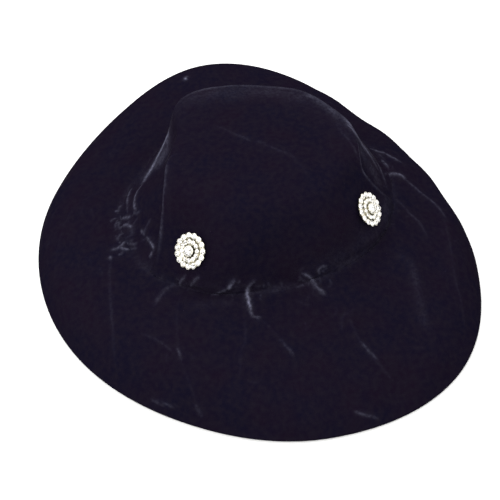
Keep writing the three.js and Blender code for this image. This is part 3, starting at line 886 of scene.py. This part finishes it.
def add_node(tree, kind, inputs, **settings):
    """A node with its inputs and settings."""
    made = tree.nodes.new(kind)
    for key, value in settings.items():
        setattr(made, key, value)
    feed(tree, made.inputs, inputs)
    return made


def mix_colours(tree, factor, first, second):
    """The output of a colour mix."""
    made = add_node(tree, "ShaderNodeMix", {}, data_type="RGBA")
    sockets = {s.identifier: s for s in made.inputs}
    feed(tree, sockets, {"Factor_Float": factor, "A_Color": first, "B_Color": second})
    return next(s for s in made.outputs if s.identifier == "Result_Color")


def map_range(tree, value, low, high, to_low, to_high):
    """A number stretched from one range to another, and kept inside it."""
    made = add_node(tree, "ShaderNodeMapRange", {
        "Value": value, "From Min": low, "From Max": high, "To Min": to_low, "To Max": to_high})
    return made.outputs["Result"]


def multiply(tree, first, second):
    """The product of two numbers."""
    return add_node(tree, "ShaderNodeMath", {0: first, 1: second}, operation="MULTIPLY").outputs[0]


def noise(tree, scale, detail):
    """A noise that is fixed to the piece, about 0.5 on average."""
    place = add_node(tree, "ShaderNodeTexCoord", {}).outputs["Object"]
    inputs = {"Vector": place, "Scale": scale, "Detail": detail}
    return add_node(tree, "ShaderNodeTexNoise", inputs).outputs["Fac"]


Mottle = namedtuple("Mottle", "scale detail low high least most", defaults=[0, 1])


def mottled(tree, mottle):
    """A noise of a scale and a detail, whose part from low to high goes from least to most."""
    value = noise(tree, mottle.scale, mottle.detail)
    return map_range(tree, value, mottle.low, mottle.high, mottle.least, mottle.most)


# %% The velvet's material
MIDNIGHT_BLUE = (0.0044, 0.0036, 0.0096, 1)
MIDNIGHT_VIOLET = (0.0060, 0.0036, 0.0087, 1)
PILE_GREY = (0.0075, 0.0058, 0.0107, 1)
# Crushed pile, and also the colour of painted highlights and of painted light that lifts shade
CRUSHED_PILE_AND_LIGHT = (0.115, 0.115, 0.165, 1)
SHEEN_COLOUR = (0.86, 0.82, 0.86, 1)
TINT_DRIFT = Mottle(38, 5, 0.36, 0.64)
GREY_FLECKS = Mottle(300, 5, 0.36, 0.76)
STREAK_BREAKS = Mottle(520, 3, 0.36, 0.64, 0.5, 1.5)
STREAK_PATCHES = Mottle(120, 1, 0.35, 0.65, 0.7, 1.3)
PILE_SCALE = 1500
PILE_DETAIL = 2
PILE_BUMP = 0.35
PILE_DEPTH = 0.0004
PILE_ROUGHNESS = 0.95
CRUSHED_ROUGHNESS = 0.6
SHEEN_WEIGHT = 0.03
SHEEN_ROUGHNESS = 0.14


def velvet_material():
    """Midnight velvet with a sheen, wandering colour, pile, and lighter streaks of crushed pile and
    painted light.
    """
    material, tree, shader = new_material("midnight_velvet")
    # The point attribute read here marks crushed pile, painted highlights and painted light that lifts
    # shade, and the colour is made lighter there
    crush = add_node(tree, "ShaderNodeAttribute", {}, attribute_name="crush").outputs["Fac"]
    broken = multiply(tree, mottled(tree, STREAK_BREAKS), mottled(tree, STREAK_PATCHES))
    crushed = multiply(tree, crush, broken)
    tint = mix_colours(tree, mottled(tree, TINT_DRIFT), MIDNIGHT_BLUE, MIDNIGHT_VIOLET)
    ground = mix_colours(tree, mottled(tree, GREY_FLECKS), tint, PILE_GREY)
    pile = noise(tree, PILE_SCALE, PILE_DETAIL)
    bump = add_node(tree, "ShaderNodeBump", {
        "Height": pile, "Strength": PILE_BUMP, "Distance": PILE_DEPTH})
    feed(tree, shader.inputs, {
        "Base Color": mix_colours(tree, crushed, ground, CRUSHED_PILE_AND_LIGHT),
        "Roughness": map_range(tree, crushed, 0, 1, PILE_ROUGHNESS, CRUSHED_ROUGHNESS),
        "Normal": bump.outputs["Normal"],
        "Specular IOR Level": 0.0,
        "Sheen Weight": SHEEN_WEIGHT,
        "Sheen Roughness": SHEEN_ROUGHNESS,
        "Sheen Tint": SHEEN_COLOUR,
    })
    return material


velvet = velvet_material()
print("velvet:", len(velvet.node_tree.nodes), "nodes")

# %% The brim and the crown as pieces
brim = make_piece("velvet_brim", brim_rings.reshape(-1, 3),
                  ring_faces(len(brim_rings), BRIM_COLUMNS, True), NO_THREES, [velvet])
brim_marks = np.zeros(brim_rings.shape[:2])
brim_width = edge_radius - round_curve(SEAM, round_angles)
# Painted light that lifts the shade on the brim next to the crown's foot
brim_seam_light = seam_painted_light(round_angles, np.maximum(brim_out * brim_width - SEAM_FLARE, 0))
brim_marks[1:1 + BRIM_ROWS] = np.maximum(brim_crush_and_light, brim_seam_light) * (1 - ease(brim_out, *FOLDS_END))
write_attribute(brim, "crush", brim_marks)
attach(brim, "root")
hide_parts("brim")

crown_points = np.concatenate([crown_rings.reshape(-1, 3), crown_poles])
crown = make_piece("velvet_crown", crown_points, ring_faces(len(crown_rings), CROWN_COLUMNS, False),
                   pole_faces(CROWN_COLUMNS, len(crown_rings)), [velvet])
hem = np.arange(len(crown.data.polygons)) // CROWN_COLUMNS == CROWN_ROWS - 1
crown.data.polygons.foreach_set("use_smooth", ~hem)
crown_marks = np.zeros(len(crown_points))
crown_marks[:crown_crush_and_light.size] = crown_crush_and_light[::-1].ravel()
write_attribute(crown, "crush", crown_marks)
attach(crown, "root")
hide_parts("crown")

# %% [markdown]
# ## The rhinestone clips
# Each clip is a round domed plate of metal. On it sit an outer ring of fifteen stones, an
# inner ring of twelve and one larger stone in the middle, each in its own cup and held by tiny
# grains of metal. A solid in the frame shows where it is: it is the same all the way round,
# so its middle lies on its axis, and the axis is the direction in which its corners spread
# differently from the other two. One stone and one cup are made once as arrays and
# repeated over the rings.

# %% The clips' sizes
StoneRing = namedtuple("StoneRing", "count radius seat ring")
STONE_RINGS = [
    StoneRing(15, 1.95, 1.0, 9.55),
    StoneRing(12, 1.5, 1.7, 5.8),
    StoneRing(1, 3.45, 2.5, 0.0),
]
STONE_CROWN = 0.50
STONE_GIRDLE = 0.35
CENTRE_STONE = STONE_RINGS[2]
CLIP_TALL = CENTRE_STONE.seat + STONE_GIRDLE + CENTRE_STONE.radius * STONE_CROWN
PLATE_PROFILE = np.array([
    (10.4, 0.0), (10.6, 0.2), (10.6, 0.8), (10.4, 1.0), (7.6, 1.0), (7.5, 1.1), (7.3, 1.6), (7.2, 1.7),
    (4.5, 1.7), (4.4, 1.6), (4.3, 1.4), (4.2, 1.3), (3.45, 1.3), (3.4, 1.4), (3.2, 2.4), (3.1, 2.5),
])
SHANK_PROFILE = np.array([
    (4.3, -5.1), (4.5, -4.95), (4.5, -4.25), (4.3, -4.1),
    (1.7, -4.1), (1.5, -3.9), (1.5, 0.3), (1.3, 0.4),
])


def clip_frame(name):
    """Where a clip sits, from its solid: the middle of its back and its three directions."""
    points = node_points(name) - MIDDLE
    middle = points.mean(0)
    spreads, directions = np.linalg.eigh(np.cov((points - middle).T))
    odd = np.abs(spreads - np.median(spreads)).argmax()
    outwards = directions[:, odd] * np.sign(directions[2, odd])
    side = unit(np.cross((0, 0, 1), outwards))
    upwards = np.cross(outwards, side)
    reach = ((points - middle) @ outwards).max()
    return middle + outwards * (reach - CLIP_TALL), np.array([side, upwards, outwards])


def ring_places(ring):
    """The places of a ring's stones, evenly spread from the lowest point round."""
    return polar(np.arange(ring.count) * 360 / ring.count, ring.ring, 0)


# %% Cut stones
STONE_SIDES = 8
GIRDLE_SIDES = 2 * STONE_SIDES
STONE_TABLE = 0.55
STAR_RADIUS = 0.80
STAR_RISE = 0.58
GIRDLE_DEPTH = 0.06
STONE_DEPTH = 0.55


def unit_stone():
    """A round stone of radius 1 with its girdle at height 0: a table of 8 sides, 8 star
    facets, 8 kites cut in two and 16 girdle facets, over a short cone."""
    eighths = np.arange(STONE_SIDES) * 360 / STONE_SIDES
    sixteenths = np.arange(GIRDLE_SIDES) * 360 / GIRDLE_SIDES
    table = polar(eighths, STONE_TABLE, STONE_CROWN)
    stars = polar(eighths + 180 / STONE_SIDES, STAR_RADIUS, STONE_CROWN * STAR_RISE)
    girdle = polar(sixteenths, 1.0, 0.0)
    lower = polar(sixteenths, 1.0, -GIRDLE_DEPTH)
    ends = np.array([(0, 0, STONE_CROWN), (0, 0, -STONE_DEPTH)])
    rings = [table, stars, girdle, lower]
    table_at, star_at, girdle_at, lower_at, top = np.cumsum([0] + [len(ring) for ring in rings])
    side = np.arange(STONE_SIDES)
    after = (side + 1) % STONE_SIDES
    small = np.arange(GIRDLE_SIDES)
    beyond = (small + 1) % GIRDLE_SIDES
    facets = [
        (top, table_at + side, table_at + after),
        (table_at + side, star_at + side, table_at + after),
        (table_at + side, girdle_at + 2 * side, star_at + side),
        (table_at + after, star_at + side, girdle_at + 2 * after),
        (star_at + side, girdle_at + 2 * side, girdle_at + 2 * side + 1),
        (star_at + side, girdle_at + 2 * side + 1, girdle_at + 2 * after),
        (girdle_at + small, lower_at + small, lower_at + beyond),
        (girdle_at + small, lower_at + beyond, girdle_at + beyond),
        (lower_at + small, top + 1, lower_at + beyond),
    ]
    faces = [np.stack(np.broadcast_arrays(*corners), -1) for corners in facets]
    return np.concatenate(rings + [ends]), np.concatenate(faces)


def repeat_shape(points, faces, scales, places):
    """Copies of a shape, each scaled and moved, as one set of points and faces."""
    scales = np.asarray(scales, float)
    copies = points[None] * scales[:, None, None] + places[:, None, :]
    shift = np.arange(len(places)) * len(points)
    return copies.reshape(-1, 3), (faces[None] + shift[:, None, None]).reshape(-1, faces.shape[1])


def all_stones():
    """Every stone of a clip in the clip's own frame."""
    shape, faces = unit_stone()
    places = np.concatenate([ring_places(r) + (0, 0, r.seat + STONE_GIRDLE) for r in STONE_RINGS])
    scales = np.repeat([r.radius for r in STONE_RINGS], [r.count for r in STONE_RINGS])
    return repeat_shape(shape, faces, scales, places)


stone_points, stone_faces = all_stones()
print("stones in a clip:", sum(r.count for r in STONE_RINGS), "with", len(stone_faces), "facets")

# %% The metal setting


def turned(profile, sides):
    """A profile of radius and height turned about the axis, closed by a point on it at both
    ends: points and three-cornered faces. The profile runs from the bottom to the top."""
    angle = np.arange(sides) * 360 / sides
    rings = polar(angle[None, :], profile[:, :1], profile[:, 1:])[::-1]
    quads = ring_faces(len(profile), sides, False)
    halves = np.concatenate([quads[:, [0, 1, 2]], quads[:, [0, 2, 3]]])
    poles = np.array([(0, 0, profile[-1, 1]), (0, 0, profile[0, 1])])
    points = np.concatenate([rings.reshape(-1, 3), poles])
    return points, np.concatenate([halves, pole_faces(sides, len(profile))])


def join_shapes(shapes):
    """Several sets of points and faces as one."""
    shifts = np.cumsum([0] + [len(points) for points, _ in shapes[:-1]])
    return (np.concatenate([points for points, _ in shapes]),
            np.concatenate([faces + shift for (_, faces), shift in zip(shapes, shifts)]))


CUP = np.array([(0.55, -0.36), (0.80, -0.34), (1.02, -0.02), (1.03, 0.06), (0.97, 0.08)])
GRAIN = np.array([(0.9, 0.0), (1.0, 0.5), (0.75, 1.0), (0.35, 1.25)])
GRAIN_SIZE = 0.34
GRAIN_ASIDE = 0.42
GRAIN_LIFT = 0.15
CENTRE_GRAINS = 6
CENTRE_GRAIN_LIFT = 0.1
PLATE_SIDES = 48
SHANK_SIDES = 24
GRAIN_SIDES = 8


def grain_places():
    """Grains of metal in the gaps of both rings, inside and outside, and a few round the middle."""
    places = []
    for ring in STONE_RINGS[:2]:
        gaps = (np.arange(ring.count) + 0.5) * 360 / ring.count
        for side in (-1, 1):
            aside = side * ring.radius * GRAIN_ASIDE
            places.append(polar(gaps, ring.ring + aside, ring.seat + GRAIN_LIFT))
    around = np.arange(CENTRE_GRAINS) * 360 / CENTRE_GRAINS
    places.append(polar(around, CENTRE_STONE.radius, CENTRE_STONE.seat + CENTRE_GRAIN_LIFT))
    return np.concatenate(places)


def setting_shapes():
    """The plate with its shank, and the cups and grains on it."""
    plate = join_shapes([turned(PLATE_PROFILE, PLATE_SIDES), turned(SHANK_PROFILE, SHANK_SIDES)])
    cup_points, cup_faces = turned(CUP, GIRDLE_SIDES)
    cups = []
    for ring in STONE_RINGS:
        places = ring_places(ring) + (0, 0, ring.seat + STONE_GIRDLE)
        cups.append(repeat_shape(cup_points, cup_faces, np.full(ring.count, ring.radius), places))
    grain_points, grain_faces = turned(GRAIN, GRAIN_SIDES)
    places = grain_places()
    grains = repeat_shape(grain_points, grain_faces, np.full(len(places), GRAIN_SIZE), places)
    return plate, join_shapes(cups + [grains])


plate_shape, cup_shape = setting_shapes()
print("setting:", len(plate_shape[1]), "plate and", len(cup_shape[1]), "cup faces")

# %% [markdown]
# ## Stone and metal finishes
# Cheap brilliant stones are glass with a mirror foil behind. Real refraction would need many
# samples for stones a few pixels wide, and what the eye sees is the foil: each facet is a
# small mirror at its own tilt. So the stones are mirror-bright and flat-shaded, with a clear
# coat for the glass, and some facets, picked by a noise, are painted grey as painted shade.
# The plate is a darker metal, and the cups a brighter one.

# %% Stone and metal materials
FOIL = (0.95, 0.94, 0.93, 1)
FOIL_WARM = (0.93, 0.89, 0.80, 1)
FOIL_SHADE = (0.22, 0.215, 0.20, 1)
PLATE_DARK = (0.050, 0.045, 0.030, 1)
PLATE_BRIGHT = (0.55, 0.52, 0.40, 1)
CUP_METAL = (0.86, 0.83, 0.72, 1)
STONE_DRIFT = Mottle(260, 1, 0.4, 0.65)
STONE_GLOSS = Mottle(260, 1, 0.3, 0.7, 0.06, 0.16)
# Which facets are painted grey, as painted shade
PAINTED_SHADE_FACETS = Mottle(900, 0, 0.56, 0.70)
STONE_MIRROR = 0.35
GLASS_COAT = 0.6
GLASS_ROUGHNESS = 0.03
METAL_STAIN = Mottle(280, 3, 0.42, 0.58)
PLATE_GLOSS = Mottle(280, 3, 0.3, 0.7, 0.55, 0.35)
CUP_GLOSS = Mottle(280, 3, 0.3, 0.7, 0.35, 0.18)


def stone_material():
    """Foiled glass: bright, nearly mirror-smooth facets whose tone wanders a little, and some facets
    painted grey as painted shade.
    """
    material, tree, shader = new_material("foiled_stone")
    foil = mix_colours(tree, mottled(tree, STONE_DRIFT), FOIL, FOIL_WARM)
    feed(tree, shader.inputs, {
        "Base Color": mix_colours(tree, mottled(tree, PAINTED_SHADE_FACETS), foil, FOIL_SHADE),
        "Roughness": mottled(tree, STONE_GLOSS),
        "Metallic": STONE_MIRROR,
        "Coat Weight": GLASS_COAT,
        "Coat Roughness": GLASS_ROUGHNESS,
    })
    return material


def metal_material(name, dark, bright, gloss):
    """Metal whose tarnish and roughness follow the same fine noise, between a darker and a brighter
    colour.
    """
    material, tree, shader = new_material(name)
    feed(tree, shader.inputs, {
        "Base Color": mix_colours(tree, mottled(tree, METAL_STAIN), dark, bright),
        "Roughness": mottled(tree, gloss),
        "Metallic": 1.0,
    })
    return material


foiled_stone = stone_material()
plate_metal = metal_material("plate_metal", PLATE_DARK, PLATE_BRIGHT, PLATE_GLOSS)
cup_metal = metal_material("cup_metal", PLATE_BRIGHT, CUP_METAL, CUP_GLOSS)
print("finishes:", foiled_stone.name, plate_metal.name, cup_metal.name)

# %% The clips as pieces


def place_shape(points, seat):
    """Points of a clip's own frame, put where the clip sits."""
    origin, directions = seat
    return origin + points @ directions


setting_points, setting_faces = join_shapes([plate_shape, cup_shape])
for name in (seat.name for seat in CLIP_SEATS):
    seat = clip_frame(name)
    print(name, "at", seat[0].round(2), "facing", seat[1][2].round(3))
    setting = make_piece(name + "_setting", place_shape(setting_points, seat), NO_FOURS,
                         setting_faces, [plate_metal, cup_metal], smooth=False)
    which = np.arange(len(setting_faces)) >= len(plate_shape[1])
    setting.data.polygons.foreach_set("material_index", which.astype(np.int32))
    stones = make_piece(name + "_stones", place_shape(stone_points, seat), NO_FOURS,
                        stone_faces, [foiled_stone], smooth=False)
    for piece in (setting, stones):
        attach(piece, "root")
        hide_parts(name)

# %% [markdown]
# ## Camera, floor and light
# The photograph looks down at the hat's front from a little to its left. The camera is set
# from that direction, its distance to the seam's middle and where that point lies in the
# picture, as a surveyor would place it. The floor is plain and pale. A pale room gives even
# light. Large soft lamps stand at the back, the front and both sides, and the one at the back
# helps draw the bright line along the crown's top, which is also a painted highlight on the velvet.

# %% The camera
PICTURE = 500
FOCAL_PIXELS = 909
SENSOR = 36
VIEW_TURN = -15
VIEW_RISE = 50
VIEW_DEPTH = 624
AIM_PIXEL = (252, 192)
NEAREST = 0.01


def standing(side, upwards, backwards, place):
    """The matrix of a camera or lamp that looks away from backwards, at that place."""
    rows = np.eye(4)
    rows[:3] = np.stack([side, upwards, backwards, place], -1)
    return Matrix(rows.tolist())


def make_camera():
    """A camera whose picture shows the middle of the seam at AIM_PIXEL and VIEW_DEPTH."""
    turn, rise = math.radians(VIEW_TURN), math.radians(VIEW_RISE)
    level = math.cos(rise)
    backwards = np.array((math.sin(turn) * level, -math.cos(turn) * level, math.sin(rise)))
    side = unit(np.cross(-backwards, (0, 0, 1)))
    upwards = np.cross(side, -backwards)
    aside = (AIM_PIXEL[0] - PICTURE / 2) / FOCAL_PIXELS
    above = (PICTURE / 2 - AIM_PIXEL[1]) / FOCAL_PIXELS
    aim = MIDDLE + (0, 0, SEAM_HEIGHT)
    eye = (aim - VIEW_DEPTH * (-backwards + aside * side + above * upwards)) * MM
    data = bpy.data.cameras.new("camera")
    data.sensor_width = SENSOR
    data.lens = FOCAL_PIXELS / PICTURE * SENSOR
    data.clip_start = NEAREST
    camera = add_object("camera", data)
    camera.matrix_world = standing(side, upwards, backwards, eye)
    bpy.context.scene.camera = camera
    return camera


camera = make_camera()
print("camera at", [round(x, 3) for x in camera.location], "lens", round(camera.data.lens, 1))

# %% The floor
FLOOR_SIZE = 4
FLOOR_DROP = 0.0003
FLOOR_COLOUR = (0.88, 0.88, 0.87, 1)
FLOOR_ROUGHNESS = 0.9


def make_floor():
    """A plain pale floor just under the hat."""
    half = FLOOR_SIZE / 2
    mesh = bpy.data.meshes.new("floor")
    signs = ((-1, -1), (1, -1), (1, 1), (-1, 1))
    corners = [(x * half, y * half, -FLOOR_DROP) for x, y in signs]
    mesh.from_pydata(corners, [], [(0, 1, 2, 3)])
    material, tree, shader = new_material("pale_floor")
    feed(tree, shader.inputs, {"Base Color": FLOOR_COLOUR, "Roughness": FLOOR_ROUGHNESS})
    mesh.materials.append(material)
    floor = add_object("floor", mesh)


make_floor()
print("floor:", FLOOR_SIZE, "m wide")

# %% The light
Lamp = namedtuple("Lamp", "name place width watts")
# Columns: name, place in metres, width in metres, watts
LAMPS = [
    Lamp("back_lamp", (-0.15, 0.75, 0.9), 0.9, 9.8),
    Lamp("front_lamp", (-0.5, -0.65, 1.0), 0.9, 11),
    Lamp("right_lamp", (0.85, 0, 0.8), 0.9, 5.5),
    Lamp("left_lamp", (-0.85, 0, 0.8), 0.9, 3.2),
]
ROOM_LIGHT = 0.65
ROOM_COLOUR = (1, 1, 1, 1)


def make_lamp(lamp):
    """A large soft square lamp that faces the hat."""
    data = bpy.data.lights.new(lamp.name, "AREA")
    data.size = lamp.width
    data.energy = lamp.watts
    made = add_object(lamp.name, data)
    backwards = unit(np.array(lamp.place))
    side = unit(np.cross((0, 0, 1), backwards))
    made.matrix_world = standing(side, np.cross(backwards, side), backwards, lamp.place)


for lamp in LAMPS:
    make_lamp(lamp)
room = bpy.data.worlds.new("pale_room")
room.use_nodes = True
background = room.node_tree.nodes["Background"]
feed(room.node_tree, background.inputs, {"Color": ROOM_COLOUR, "Strength": ROOM_LIGHT})
bpy.context.scene.world = room
bpy.context.scene.view_settings.view_transform = "Standard"
print("light:", len(LAMPS), "lamps and a pale room")
